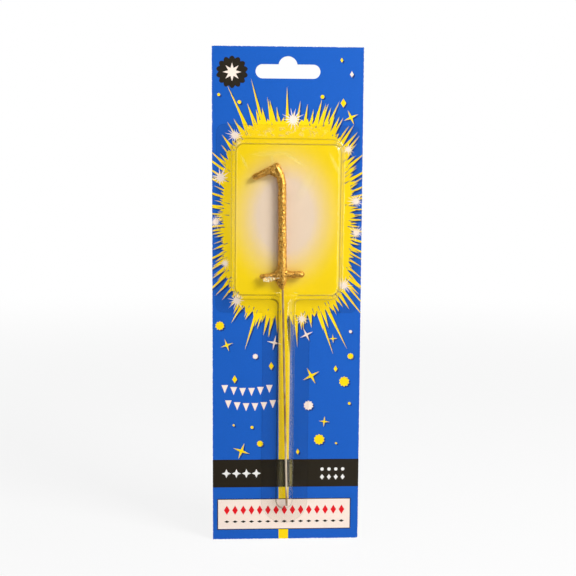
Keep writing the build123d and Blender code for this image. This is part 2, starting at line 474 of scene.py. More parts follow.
def film_material(settings):
    """Clear film: painted shade in its bends, glossier edge on, with painted highlight streaks along creases
    and the channel, and frosted spots in the top seal.
    """
    material, n = new_material("clear_film")
    place = n.place()
    facing = n.add("LayerWeight", {"Blend": 0.5}, output="Facing")
    # Painted shade: the film lets less through at its bends, standing in for the dark lines that refraction
    # draws there
    bent = n.add("Attribute", attribute_name=BEND_SHADE, output="Fac")
    through = n.add("BsdfTransparent", {"Color": n.blend(bent, settings.clear, settings.edge)})
    gloss = n.add("BsdfGlossy", {"Color": WHITE, "Roughness": settings.gloss})
    mirror = n.ramp(n.math("POWER", facing, 5.0), 0.0, 1.0, 0.030, 0.9, smooth=False)
    film = n.add("MixShader", {0: mirror, 1: through, 2: gloss})
    level = n.axis(place, "Z")
    seal_middle = FILM_HIGH.z - settings.flange_end / 2
    strip = n.ramp(n.math("ABSOLUTE", n.math("SUBTRACT", level, seal_middle)), 1.5 * MM, 3.0 * MM, 1.0, 0.0)
    side = n.ramp(n.math("ABSOLUTE", n.axis(place, "X")), 12 * MM, 24 * MM, 1.0, 0.0)
    spots = n.ramp(n.grain(place, 2.4 * MM, detail=3.0, roughness=0.6), 0.48, 0.66, 0.0, 0.20)
    frost_and_highlight = n.math("MULTIPLY", n.math("MULTIPLY", strip, side), spots)
    # Painted highlights: pale diffuse streaks along the creases and the channel, on top of the seal's frost
    for across, up, length, width, slope, strength in PAINTED_HIGHLIGHTS:
        centre = (across * MM, 0.0, FILM_HIGH.z + up * MM)
        off = n.far(place, centre, (length * MM / 2, 1.0, width * MM / 2), math.radians(slope))
        frost_and_highlight = n.math("MAXIMUM", frost_and_highlight, n.ramp(off, 0.1, 1.0, strength, 0.0))
    haze_and_highlight = n.add("BsdfDiffuse", {"Color": opaque(settings.frost_and_highlight)})
    n.surface(n.add("MixShader", {0: frost_and_highlight, 1: film, 2: haze_and_highlight}))
    return material


def coat_material(settings, chip):
    """Gold paint on a grainy dipped mass, pale where the paint has flaked."""
    material, n = new_material("gold_coat")
    place = n.place()
    grain = n.grain(place, 0.8 * MM, detail=4.0, roughness=0.6)
    patch = n.grain(place, 3.5 * MM, detail=2.0)
    gold = n.blend(n.ramp(grain, 0.33, 0.48), settings.dark_gold, settings.gold)
    gold = n.blend(n.ramp(grain, 0.54, 0.66), gold, settings.bright_gold)
    gold = n.blend(n.ramp(patch, 0.35, 0.75, 0.0, 0.30), gold, settings.dark_gold)
    centre, reach = chip
    torn = n.uneven(n.far(place, centre, reach), place, 0.9 * MM, 0.7, detail=4.0)
    bare = n.ramp(torn, 0.85, 1.0, 1.0, 0.0)
    shader = {
        "Base Color": n.blend(bare, gold, settings.chip),
        "Metallic": n.ramp(bare, 0.0, 1.0, 0.75, 0.0),
        "Roughness": n.ramp(bare, 0.0, 1.0, 0.30, 0.75),
        "Normal": n.bump(n.grain(place, 0.50 * MM, detail=4.0, roughness=0.6), 0.20 * MM, 1.0),
    }
    n.surface(n.add("BsdfPrincipled", shader))
    return material


def wire_material(settings):
    """Drawn steel wire, browner below the coat and at its end, with draw lines along it."""
    material, n = new_material("steel_wire")
    place = n.place()
    drawn = n.grain(n.add("Mapping", {"Vector": place, "Scale": (1.0, 1.0, 0.04)}), 0.12 * MM, detail=3.0)
    patch = n.grain(n.add("Mapping", {"Vector": place, "Scale": (1.0, 1.0, 0.25)}), 1.4 * MM, detail=3.0)
    level = n.axis(place, "Z")
    upper = n.ramp(level, *(COAT_FOOT - down for down in UPPER_BROWNING), 0.0, 0.85)
    lower = n.ramp(level, *(WIRE_FOOT + up for up in LOWER_BROWNING), 0.85, 0.0)
    browning = n.math("MAXIMUM", upper, lower)
    browning = n.math("ADD", browning, n.ramp(patch, 0.2, 0.8, -0.35, 0.35), clamp=True)
    colour = n.blend(browning, settings.wire, settings.brown_wire)
    shader = {
        "Base Color": n.blend(n.ramp(drawn, 0.3, 0.7, 0.0, 0.35), colour, settings.brown_wire),
        "Metallic": 0.40,
        "Roughness": n.ramp(patch, 0.2, 0.8, 0.30, 0.48),
        "Normal": n.bump(drawn, 0.01 * MM, 0.5),
    }
    n.surface(n.add("BsdfPrincipled", shader))
    return material


def flake_material(settings):
    """Bare pale mass with flecks of gold paint left on it."""
    material, n = new_material("bare_flake")
    place = n.place()
    pale = mottled(n, place, settings.chip, 0.6 * MM, 0.35)
    fleck = n.ramp(n.grain(place, 1.1 * MM, detail=3.0), 0.46, 0.56)
    shader = {
        "Base Color": n.blend(fleck, pale, settings.gold),
        "Metallic": n.math("MULTIPLY", fleck, 0.7),
        "Roughness": n.ramp(fleck, 0.0, 1.0, 0.7, 0.4),
        "Normal": n.bump(n.grain(place, 0.3 * MM, detail=3.0), 0.08 * MM, 0.8),
    }
    n.surface(n.add("BsdfPrincipled", shader))
    return material


# Meshes


def new_object(name, bm, material):
    """Writes a bmesh to a new object with one material."""
    mesh = bpy.data.meshes.new(name)
    bm.to_mesh(mesh)
    bm.free()
    mesh.materials.append(material)
    made = bpy.data.objects.new(name, mesh)
    bpy.context.scene.collection.objects.link(made)
    return made


def new_piece(name, bm, material, body):
    """A new object with one material that rides on a body."""
    piece = new_object(name, bm, material)
    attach(piece, body)
    return piece


def dress_node(name, material):
    """Gives a node of the frame its material."""
    materials = frame["nodes"][name].data.materials
    materials.clear()
    materials.append(material)


def around(ring):
    """Pairs of neighbours round a closed ring."""
    return zip(ring, ring[1:] + ring[:1])


def polar(across, level, radius, angle):
    """A point at a radius and an angle, in radians, from a centre in the card's plane."""
    return (across + radius * math.cos(angle), level + radius * math.sin(angle))


def arc(across, level, radius, start, sweep, steps):
    """Points of an arc in the card's plane, both ends included, with angles in degrees."""
    angles = [math.radians(start + sweep * k / steps) for k in range(steps + 1)]
    return [polar(across, level, radius, angle) for angle in angles]


def between(first, last, steps):
    """Points that divide a straight stretch, without its ends."""
    return [tuple(a + (b - a) * k / steps for a, b in zip(first, last)) for k in range(1, steps)]


def raise_ring(bm, ring, places, bend_shade=0.0):
    """Extrudes a closed ring of vertices to new places, and gives the new ring in the same order."""
    layer = bm.verts.layers.float[BEND_SHADE]
    edges = [bm.edges.get(pair) for pair in around(ring)]
    made = bmesh.ops.extrude_edge_only(bm, edges=edges)["geom"]
    fresh = {item for item in made if isinstance(item, bmesh.types.BMVert)}
    raised = []
    for vertex, place in zip(ring, places):
        twin = next(e.other_vert(vertex) for e in vertex.link_edges if e.other_vert(vertex) in fresh)
        twin.co = place
        twin[layer] = bend_shade
        raised.append(twin)
    return raised


# Printed shapes, as outlines of (across, level) points in the card's plane


def box_shape(left, right, low, high):
    """A rectangle."""
    return [(left, low), (right, low), (right, high), (left, high)]


def frame_shape(left, right, low, high, line):
    """The four sides of a ruled box. The upright ones end a hair short, so that no two share a corner."""
    short = 1.1 * line
    return [
        box_shape(left, right, high - line, high),
        box_shape(left, right, low, low + line),
        box_shape(left, left + line, low + short, high - short),
        box_shape(right - line, right, low + short, high - short),
    ]


def star_shape(across, level, reach, points, waist, start=90.0):
    """A star whose waist is a share of its reach."""
    outline = []
    for k in range(2 * points):
        radius = reach * (waist if k % 2 else 1.0)
        outline.append(polar(across, level, radius, math.radians(start + 180 * k / points)))
    return outline


def spark_shape(across, level, reach, rng):
    """A burst of thin, uneven spikes round a small middle."""
    outline = []
    spikes = rng.randrange(11, 16)
    for k in range(2 * spikes):
        radius = reach * (0.24 if k % 2 else rng.uniform(0.45, 1.0))
        outline.append(polar(across, level, radius, math.radians(180 * k / spikes)))
    return outline


def tick_shapes(settings, rng, count, inside, outside, longest):
    """Thin slivers that point out of the sunburst, over its edge."""
    slivers = []
    for k in range(count):
        angle = 2 * math.pi * (k + rng.uniform(-0.4, 0.4)) / count
        start = halo_radius(settings, angle) + rng.uniform(-inside, outside)
        stop = start + longest * rng.uniform(0.3, 1.0)
        half = rng.uniform(0.12, 0.30) * MM / start
        corners = ((angle - half, start), (angle, stop), (angle + half, start))
        slivers.append([polar(0.0, settings.halo_level, radius, turned) for turned, radius in corners])
    return slivers


def disc_shape(across, level, radius, steps=24):
    """A round dot."""
    return arc(across, level, radius, 0, 360, steps)[:-1]


def rosette_shape(across, level, radius, petals, depth):
    """A disc with a scalloped rim."""
    steps = 6
    outline = []
    for k in range(petals * steps):
        swell = 1 - depth * (1 - abs(math.sin(math.pi * k / steps)))
        outline.append(polar(across, level, radius * swell, math.radians(360 / steps * k / petals)))
    return outline


def lozenge_shape(across, level, half_width, half_height):
    """A diamond on its point."""
    return [(across + half_width, level), (across, level + half_height),
            (across - half_width, level), (across, level - half_height)]


def halo_radius(settings, angle):
    """Radius of the sunburst's solid middle, a soft-cornered box, at an angle."""
    power = 3.2
    wide = abs(math.cos(angle)) * 2 / settings.halo_width
    high = abs(math.sin(angle)) * 2 / settings.halo_height
    return (wide**power + high**power) ** (-1 / power)


def sunburst_shape(settings, rng, rays, spread, shortest, longest, sink):
    """A burst of tapered rays round the solid middle. Spread is a ray's share of its room."""
    outline = []
    room = 2 * math.pi / rays
    for k in range(rays):
        half = room * spread / 2
        middle = room * k + (room / 2 - half) * rng.uniform(-0.8, 0.8)
        length = shortest + (longest - shortest) * rng.random() ** 1.7
        tip = middle + half * rng.uniform(-0.6, 0.6)
        for angle, extra in ((middle - half, -sink), (tip, length), (middle + half, -sink)):
            outline.append(polar(0.0, settings.halo_level, halo_radius(settings, angle) + extra, angle))
    return outline


def moved(outline, across, level):
    """An outline shifted in the card's plane."""
    return [(x + across, z + level) for x, z in outline]


def print_ink(name, shapes, colour, glow=None):
    """Prints one ink as a thin film. Shapes are pairs of a step over the card's face and an outline."""
    bm = bmesh.new()
    for step, outline in shapes:
        steps = zip(outline[-1:] + outline, outline)
        corners = [here for last, here in steps if math.dist(last, here) > SAME]
        ring = [bm.verts.new((x, FACE - step * INK_STEP + INK_THICK, z)) for x, z in corners]
        edges = [bm.edges.new(pair) for pair in around(ring)]
        bmesh.ops.edgeloop_fill(bm, edges=edges)
    bmesh.ops.triangulate(bm, faces=bm.faces[:], ngon_method="EAR_CLIP")
    low, high = CARD_LOW, CARD_HIGH
    for corner, outward in ((low, (-1, 0, 0)), (low, (0, 0, -1)), (high, (1, 0, 0)), (high, (0, 0, 1))):
        edge = corner - Vector(outward) * PRINT_MARGIN
        geom = bm.verts[:] + bm.edges[:] + bm.faces[:]
        bmesh.ops.bisect_plane(bm, geom=geom, plane_co=edge, plane_no=outward, clear_outer=True)
    made = bmesh.ops.extrude_face_region(bm, geom=bm.faces[:])["geom"]
    front = [item for item in made if isinstance(item, bmesh.types.BMVert)]
    bmesh.ops.translate(bm, verts=front, vec=(0, -INK_THICK, 0))
    bmesh.ops.recalc_face_normals(bm, faces=bm.faces[:])
    new_piece(name, bm, ink_material(name, colour, glow), "card")


def on_step(step, outlines):
    """Outlines that are printed at one step over the card's face."""
    return [(step, outline) for outline in outlines]


def confetti_places(settings, rng, count, gap):
    """Seeded places for confetti, clear of the halo, stripe, band, slot, badge and bunting."""
    side, end, ray_room = 3 * MM, 4 * MM, 10 * MM
    taken = list(NO_CONFETTI)
    band_top = band_box(settings)[-1]
    places = []
    while len(places) < count:
        across = rng.uniform(CARD_LOW.x + side, CARD_HIGH.x - side)
        level = rng.uniform(band_top + end, CARD_HIGH.z - end)
        angle = math.atan2(level - settings.halo_level, across)
        out = math.hypot(across, level - settings.halo_level) - halo_radius(settings, angle)
        if out < ray_room or abs(across - settings.stripe_across) < settings.stripe_width:
            continue
        if any(math.hypot(across - x, level - z) < r for x, z, r in taken):
            continue
        taken.append((across, level, gap))
        places.append((across, level))
    return places


def confetti_shapes(settings, rng, count, gap):
    """Stars, dots, lozenges and rosettes in turn, as a list of yellow ones and a list of cream ones."""
    yellow, cream = [], []
    for k, (across, level) in enumerate(confetti_places(settings, rng, count, gap)):
        size = rng.uniform(1.2, 2.6) * MM
        motif = (
            star_shape(across, level, size * 1.9, 4, 0.20, rng.uniform(60, 120)),
            disc_shape(across, level, size * 0.42),
            lozenge_shape(across, level, size * 0.55, size * 0.9),
            rosette_shape(across, level, size * 1.15, 10, 0.22),
        )[k % 4]
        (cream if k % 5 == 3 else yellow).append(motif)
    return yellow, cream


def spark_shapes(settings, rng, count):
    """Sparks at uneven places along the sunburst's edge."""
    sparks = []
    for k in range(count):
        angle = 2 * math.pi * (k + 0.5 + rng.uniform(-0.25, 0.25)) / count
        out = halo_radius(settings, angle) + rng.uniform(0.5, 4.5) * MM
        across, level = polar(0.0, settings.halo_level, out, angle)
        sparks.append(spark_shape(across, level, rng.uniform(4.0, 7.0) * MM, rng))
    return sparks


def stripe_shape(settings):
    """The stripe from the card's foot up into the sunburst, where it is wider."""
    foot = settings.stripe_width / 2
    head = (settings.stripe_width + settings.stripe_spread) / 2
    low, high = CARD_LOW.z, settings.halo_level
    corners = ((-foot, low), (foot, low), (head, high), (-head, high))
    return [(settings.stripe_across + across, level) for across, level in corners]


def pennant_shapes():
    """Pennants of the bunting, on strings that sag in the middle."""
    half = (PENNANTS - 1) / 2
    pennants = []
    for start, low in BUNTING:
        for k in range(PENNANTS):
            left = start + PENNANT_PITCH * k
            level = low + BUNTING_SAG * ((k - half) / half) ** 2
            tip = (left + PENNANT_WIDTH / 2, level - PENNANT_LENGTH)
            pennants.append([(left, level), (left + PENNANT_WIDTH, level), tip])
    return pennants


def panel_box(settings):
    """Left, right, low and high edge of the cream panel."""
    left = settings.panel_across - settings.panel_width / 2
    low = CARD_LOW.z + settings.panel_rise
    return left, left + settings.panel_width, low, low + settings.panel_height


def band_box(settings):
    """Left, right, low and high edge of the black band."""
    low = CARD_LOW.z + settings.band_rise
    return CARD_LOW.x, CARD_HIGH.x, low, low + settings.band_height


def panel_rows(settings):
    """A row of tall lozenges on the panel, and a row of flat ones under it."""
    left, _, low, high = panel_box(settings)
    middle = (low + high) / 2
    places = [left + (5 + 4.3 * k) * MM for k in range(15)]
    tall = [lozenge_shape(across, middle + 2.2 * MM, 1.5 * MM, 2.5 * MM) for across in places]
    flat = [lozenge_shape(across, middle - 4.0 * MM, 1.4 * MM, 0.7 * MM) for across in places]
    return tall, flat


def band_rows(settings):
    """Stars on the band's left, and dots over lozenges on its right."""
    _, _, low, high = band_box(settings)
    middle = (low + high) / 2
    outlines = []
    for k in range(4):
        across = (19 + 3.6 * k) * MM
        outlines.append(star_shape((-31 + 5.2 * k) * MM, middle, 2.4 * MM, 4, 0.42))
        outlines.append(disc_shape(across, middle + 2.0 * MM, 0.9 * MM))
        outlines.append(lozenge_shape(across, middle - 2.2 * MM, 1.1 * MM, 1.5 * MM))
    return outlines


# Film


def film_outline(width, top, bottom, corner, channel, throat, end, height):
    """A ring round the bubble and down its channel, at a height. Width and channel are half widths."""
    points = []
    for across, level, radius, start, sweep in (
        (width - corner, top - corner, corner, 0, 90),
        (corner - width, top - corner, corner, 90, 90),
        (corner - width, bottom + corner, corner, 180, 90),
        (-channel - throat, bottom - throat, throat, 90, -90),
        (0, end, channel, 180, 180),
        (channel + throat, bottom - throat, throat, 180, -90),
        (width - corner, bottom + corner, corner, 270, 90),
    ):
        turned = arc(across, level, radius, start, sweep, STRETCH * abs(sweep) // 90)
        if points:
            points += between(points[-1], turned[0], STRETCH)
        points += turned
    points += between(points[-1], points[0], STRETCH)
    return [Vector((x, FACE - height, z)) for x, z in points]


def flange_outline(settings, height, inset=0.0):
    """The flange's ring at a height over the card, moved in from its cut edge."""
    return film_outline(
        FILM_HIGH.x - inset,
        FILM_HIGH.z - inset,
        FILM_HIGH.z - settings.bubble_height - 2 * settings.flange_end + inset,
        settings.flange_corner - inset,
        settings.tail_width / 2 - inset,
        FLANGE_THROAT + inset,
        FILM_LOW.z + settings.tail_width / 2,
        height,
    )


def pocket_outline(settings, height, inset=0.0, channel_inset=0.0):
    """The pocket's ring at a height over the card, with the bubble and the channel each moved in."""
    depth = FILM_HIGH.y - FILM_LOW.y
    side = settings.side_draft * height / depth + inset
    end = settings.end_draft * height / depth + inset
    top = FILM_HIGH.z - settings.flange_end
    return film_outline(
        settings.bubble_width / 2 - side,
        top - end,
        top - settings.bubble_height + end,
        settings.bubble_corner - side,
        settings.channel_width / 2 - settings.channel_draft * height / settings.channel_depth - channel_inset,
        settings.throat + channel_inset,
        FILM_LOW.z + settings.tail_width / 2,
        height,
    )


def round_over(radius, steps):
    """How far in and how far down a round edge is, from the wall to the front."""
    angles = [math.pi / 2 * k / steps for k in range(1, steps + 1)]
    return [(radius * (1 - math.cos(a)), radius * (1 - math.sin(a))) for a in angles]


def crown_channel(bm, rim, crown):
    """Closes the channel's front, from its mouth round its end, and lets it bulge out between its sides."""
    tip = len(rim) // 2
    left, right = rim[:tip], rim[:tip:-1]
    half_at = {round(vertex.co.z, 6): abs(vertex.co.x) for vertex in left}
    narrow = abs(left[tip // 2].co.x)
    mouth = left[0].co.z
    sides = [bm.edges.get(pair) for chain in (left, right) for pair in zip(chain, chain[1:])]
    bmesh.ops.bridge_loops(bm, edges=sides)
    rungs = [bm.edges.get(pair) for pair in zip(left, right)]
    end = [bm.edges.get((rim[tip], vertex)) for vertex in (left[-1], right[-1])]
    bmesh.ops.edgeloop_fill(bm, edges=[rungs[-1], *end])
    made = bmesh.ops.subdivide_edges(bm, edges=rungs[1:], cuts=9, use_grid_fill=True)["geom_inner"]
    for vertex in made:
        if isinstance(vertex, bmesh.types.BMVert):
            half = half_at[round(vertex.co.z, 6)]
            swell = min(1.0, (mouth - vertex.co.z) / narrow, half / narrow)
            vertex.co.y -= crown * swell * (1 - (vertex.co.x / half) ** 2)


def flange_and_foot(bm, settings):
    """The flat flange and the radius that turns it up into the pocket's wall. Gives the last ring."""
    bend_shade = bm.verts.layers.float[BEND_SHADE]
    top = settings.thickness + FILM_GAP
    ring = [bm.verts.new(place) for place in flange_outline(settings, top)]
    for pair in around(ring):
        bm.edges.new(pair)
    # Painted shade along the film's cut rim
    for vertex in ring:
        vertex[bend_shade] = RIM_DARK
    ring = raise_ring(bm, ring, flange_outline(settings, top, RIM))
    ring = raise_ring(bm, ring, pocket_outline(settings, top, -2 * settings.foot, -settings.foot))
    steps = 6
    for k in range(steps + 1):
        angle = math.pi / 2 * k / steps
        out = settings.foot * (1 - math.sin(angle))
        rise = top + settings.foot * (1 - math.cos(angle))
        outline = pocket_outline(settings, rise, -out, -out / 2)
        # Painted shade round the bubble's foot
        ring = raise_ring(bm, ring, outline, FOOT_DARK * (2 <= k <= 4))
        # Painted shade on the channel's feet, darker on the left, away from the key lamp
        for vertex in ring[CHANNEL]:
            dark = CHANNEL_LEFT_DARK if vertex.co.x < 0 else CHANNEL_RIGHT_DARK
            vertex[bend_shade] = dark * (1 <= k <= 5)
    return ring


def channel_wall(bm, settings, ring):
    """The pocket's wall up to the channel's front, with its round edge. Gives the last ring."""
    ring = raise_ring(bm, ring, pocket_outline(settings, settings.channel_depth - settings.channel_edge))
    for inset, down in round_over(settings.channel_edge, 6):
        ring = raise_ring(bm, ring, pocket_outline(settings, settings.channel_depth - down, 0.0, inset))
    return ring


def bubble_front(bm, settings, ring):
    """The bubble's wall past the channel, its round edge and its flat front. Gives the front's middle."""
    bend_shade = bm.verts.layers.float[BEND_SHADE]
    depth = FILM_HIGH.y - FILM_LOW.y
    bm.edges.new((ring[CHANNEL.start], ring[CHANNEL.stop - 1]))
    keep = [*range(CHANNEL.stop - 1, len(ring)), *range(CHANNEL.start + 1)]
    ring = [ring[k] for k in keep]
    stations = [(depth - settings.bubble_edge, 0.0)]
    stations += [(depth - down, inset) for inset, down in round_over(settings.bubble_edge, 8)]
    stations += [(depth, settings.bubble_edge + extra) for extra in (0.5 * MM, 2.6 * MM)]
    for step, (height, inset) in enumerate(stations):
        outline = pocket_outline(settings, height, inset)
        # Painted shade round the bubble's front edge
        ring = raise_ring(bm, ring, [outline[k] for k in keep], FRONT_DARK * (2 <= step <= 4))
        ring[0][bend_shade] = ring[-1][bend_shade] = 0.0
    middle = Vector((0, FACE - depth, sum(v.co.z for v in ring) / len(ring)))
    rim = [v.co.copy() for v in ring]
    rings = 8
    for k in range(1, rings + 1):
        ring = raise_ring(bm, ring, [place.lerp(middle, k / (rings + 1.5)) for place in rim])
    bmesh.ops.edgeloop_fill(bm, edges=[bm.edges.get(pair) for pair in around(ring)])
    return middle


def film_mesh(settings):
    """The film's outer face as one sheet, then rippled, given its thickness and turned on the card."""
    bm = bmesh.new()
    bm.verts.layers.float.new(BEND_SHADE)
    ring = channel_wall(bm, settings, flange_and_foot(bm, settings))
    middle = bubble_front(bm, settings, ring)
    crown_channel(bm, ring[CHANNEL], settings.crown)
    depth = FILM_HIGH.y - FILM_LOW.y
    for vertex in bm.verts:
        lift = max((FACE - vertex.co.y) / depth, 0) ** 2
        wave = 0.5 + 0.5 * noise.noise(vertex.co * 60)
        vertex.co.y += settings.ripple * lift * wave
    bmesh.ops.recalc_face_normals(bm, faces=bm.faces[:])
    flat = max(bm.faces, key=lambda face: face.calc_area())
    if flat.normal.y > 0:
        bmesh.ops.reverse_faces(bm, faces=bm.faces[:])
    bmesh.ops.solidify(bm, geom=bm.faces[:], thickness=settings.thickness)
    bmesh.ops.rotate(bm, verts=bm.verts[:], cent=middle, matrix=Matrix.Rotation(settings.askew, 3, "Y"))
    return bm


# Coat


def numeral_point(settings, across, up, out=0.0):
    """A point of the numeral, across and up from the coat's lower end and out of the card."""
    axis = Vector(STEM["axis"])
    foot = Vector(STEM["pos_m"])
    foot -= axis * ((foot.z - COAT_FOOT) / axis.z)
    rise = Vector((-math.sin(settings.lean), 0, math.cos(settings.lean)))
    right = Vector((math.cos(settings.lean), 0, math.sin(settings.lean)))
    return foot + right * across + rise * up + Vector((0, -out, 0))


def bar_level(settings, across):
    """Height of the tilted foot bar over the coat's lower end."""
    return settings.drip + across * math.tan(settings.bar_tilt)


def dip(bm, stations):
    """Adds a round bead at each (place, radius) station and a taper to the next."""
    for place, radius in stations:
        bmesh.ops.create_uvsphere(
            bm, u_segments=24, v_segments=16, radius=radius, matrix=Matrix.Translation(place)
        )
    for (first, wide), (last, narrow) in zip(stations, stations[1:]):
        way = last - first
        aim = way.to_track_quat("Z", "Y").to_matrix().to_4x4()
        bmesh.ops.create_cone(
            bm,
            cap_ends=True,
            segments=24,
            radius1=wide,
            radius2=narrow,
            depth=way.length,
            matrix=Matrix.Translation((first + last) / 2) @ aim,
        )


def coat_branches(settings):
    """The coat's branches as rows of (across, up, out, radius): upright, flag, crotch, drip web and arms."""
    half = settings.coat / 2
    total = settings.drip + settings.numeral_height
    shoulder = total - settings.top_height
    top = (-settings.top_across, total - half)
    upright = [(across * MM, up * MM, 0.0, radius * MM) for across, up, radius in DRIP]
    web = [(across * MM, up * MM, 0.0, radius * MM) for across, up, radius in DRIP_WEB]
    foot = settings.drip * 0.75
    for k in range(9):
        up = foot + (shoulder - 3 * MM - foot) * k / 8
        run = (1 - k / 8) ** 3
        swell = 1.03 + 0.12 * run + 0.02 * math.sin(2.1 * k)
        upright.append((-0.25 * MM * run, up, 0.0, half * swell))
    upright.append((-0.05 * MM, shoulder, 0.0, half * 1.06))
    upright.append((0.32 * top[0], shoulder + 0.45 * (top[1] - shoulder), 0.0, half * 1.08))
    upright.append((top[0] - 0.25 * MM, top[1], 0.0, half))
    reach = settings.flag_length
    slope = Vector((-math.cos(settings.flag_drop), -math.sin(settings.flag_drop)))
    flag = []
    for along, radius in FLAG:
        flag.append((top[0] + slope.x * reach * along, top[1] + slope.y * reach * along, 0.0, radius * MM))
    crotch = [(*flag[1][:3], 1.6 * MM), (*upright[-2][:3], 1.7 * MM)]
    arms = []
    for side, arm, crook, stations in (
        (-1, settings.bar_left, LEFT_CROOK, LEFT_ARM),
        (1, settings.bar_right, RIGHT_CROOK, RIGHT_ARM),
    ):
        beads = []
        for along, radius in stations:
            across = side * arm * along
            beads.append((across, bar_level(settings, across), settings.bar_out, radius * MM))
        *joint, radius = beads[1]
        arms += [beads, [(0.0, settings.drip + crook, 0.0, 2.05 * MM), (*joint, radius * 0.9)]]
    return [upright, flag, crotch, web, *arms]


def coat_mesh(settings, chip):
    """The dipped coat: beads fused into one skin, smoothed, then lumpy and grainy."""
    bm = bmesh.new()
    for branch in coat_branches(settings):
        dip(bm, [(numeral_point(settings, *place), radius) for *place, radius in branch])
    mesh = bpy.data.meshes.new("coat_beads")
    bm.to_mesh(mesh)
    bm.free()
    beads = bpy.data.objects.new("coat_beads", mesh)
    bpy.context.scene.collection.objects.link(beads)
    remesh = beads.modifiers.new("skin", "REMESH")
    remesh.mode = "VOXEL"
    remesh.voxel_size = settings.voxel
    skin = bpy.data.meshes.new_from_object(beads.evaluated_get(bpy.context.evaluated_depsgraph_get()))
    bpy.data.objects.remove(beads)
    bm = bmesh.new()
    bm.from_mesh(skin)
    every_way = {"use_axis_x": True, "use_axis_y": True, "use_axis_z": True}
    for _ in range(6):
        bmesh.ops.smooth_vert(bm, verts=bm.verts[:], factor=0.5, **every_way)
    bm.normal_update()
    centre, reach = chip
    lifts = []
    for vertex in bm.verts:
        lump = sum(height * noise.noise(vertex.co * density) for height, density in LUMPS)
        near = Vector((a - b) / side for a, b, side in zip(vertex.co, centre, reach)).length
        flake = max(0.0, 1 - near) * (0.25 + 0.9 * noise.noise(vertex.co * 1500))
        lifts.append((lump - 0.45 * flake) * MM)
    for vertex, lift in zip(bm.verts, lifts):
        vertex.co += vertex.normal * lift
    for face in bm.faces:
        face.smooth = True
    return bm


def flake_mesh(settings):
    """A crumpled flake that hangs from the left arm of the foot bar and leans out at its lower edge."""
    bm = bmesh.new()
    bmesh.ops.create_grid(bm, x_segments=30, y_segments=7, size=0.5)
    for vertex in bm.verts:
        along, down = 0.5 - vertex.co.x, 0.5 - vertex.co.y
        across = -(FLAKE_START + FLAKE_RUN * along) * MM
        jag = FLAKE_CRUMPLE * noise.noise(Vector((along * 14, 0.0, 5.0)))
        hang = (FLAKE_LEAST + FLAKE_HANG * math.sin(math.pi * (0.85 * along) ** 1.3) + jag) * MM
        fold = FLAKE_CRUMPLE * noise.noise(Vector((along * 9, down * 2.0, 1.0))) + FLAKE_LEAN * down
        up = bar_level(settings, across) - FLAKE_UNDER * MM - hang * down
        vertex.co = numeral_point(settings, across, up, settings.bar_out + (FLAKE_FRONT + fold) * MM)
    bmesh.ops.solidify(bm, geom=bm.faces[:], thickness=FLAKE_THICK * MM)
    bmesh.ops.recalc_face_normals(bm, faces=bm.faces[:])
    return bm


# Operators


class SPARKLER_OT_dress_card(bpy.types.Operator):
    """Give the backing card its coated board and blue flood"""

    bl_idname = "sparkler.dress_card"
    bl_label = "Dress Card"

    def execute(self, context):
        dress_node("backing_card", board_material(context.scene.sparkler_print))
        return {"FINISHED"}


class SPARKLER_OT_print_inks(bpy.types.Operator):
    """Print the sunburst, stripe, band, panel, bunting, badge and confetti"""

    bl_idname = "sparkler.print_inks"
    bl_label = "Print Inks"

    def execute(self, context):
        settings = context.scene.sparkler_print
        rng = random.Random(settings.seed)
        needles = sunburst_shape(settings, rng, *NEEDLES)
        rays = sunburst_shape(settings, rng, *RAYS)
        yellow_confetti, cream_confetti = confetti_shapes(settings, rng, count=30, gap=8 * MM)
        sparks = spark_shapes(settings, rng, count=11)
        ticks = tick_shapes(settings, rng, count=120, inside=3 * MM, outside=3 * MM, longest=4 * MM)
        panel = panel_box(settings)
        tall_lozenges, flat_lozenges = panel_rows(settings)

        shaded = [(1, needles), (2, rays), *on_step(1, yellow_confetti + cream_confetti)]
        shadows = [(step, moved(outline, *SHADOW_SHIFT)) for step, outline in shaded] + on_step(5, ticks)
        yellows = [(3, needles), (4, rays), (3, stripe_shape(settings)), *on_step(4, yellow_confetti)]
        creams = on_step(6, sparks) + on_step(4, cream_confetti + pennant_shapes())
        creams += [(5, box_shape(*panel)), (6, star_shape(*BADGE, 4.6 * MM, 8, 0.45))]
        blacks = [(5, box_shape(*band_box(settings))), (5, rosette_shape(*BADGE, 8 * MM, 14, 0.16))]
        blacks += on_step(6, frame_shape(*panel, PANEL_RULE) + flat_lozenges)

        centre = (settings.glow_across, 0.0, settings.glow_level)
        glow = (settings.glow, centre, (settings.glow_width / 2, 1.0, settings.glow_height / 2))
        print_ink("ink_shadow", shadows, settings.deep_blue)
        print_ink("ink_yellow", yellows, settings.yellow, glow)
        print_ink("ink_cream", creams, settings.cream)
        print_ink("ink_black", blacks, settings.black)
        print_ink("ink_red", on_step(6, tall_lozenges), settings.red)
        print_ink("ink_white", on_step(6, band_rows(settings)), settings.board)
        return {"FINISHED"}


class SPARKLER_OT_form_film(bpy.types.Operator):
    """Form the clear blister with its flange, bubble and stem channel"""

    bl_idname = "sparkler.form_film"
    bl_label = "Form Film"

    def execute(self, context):
        settings = context.scene.sparkler_film
        mesh, material = film_mesh(settings), film_material(settings)
        film = new_piece("clear_blister", mesh, material, "blister")
        film.data.shade_smooth()
        film.data.set_sharp_from_angle(angle=SHARP)
        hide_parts("blister")
        return {"FINISHED"}


class SPARKLER_OT_dress_wires(bpy.types.Operator):
    """Give both wires their drawn steel"""

    bl_idname = "sparkler.dress_wires"
    bl_label = "Dress Wires"

    def execute(self, context):
        material = wire_material(context.scene.sparkler_body)
        dress_node("core_wire", material)
        dress_node("cross_wire", material)
        return {"FINISHED"}


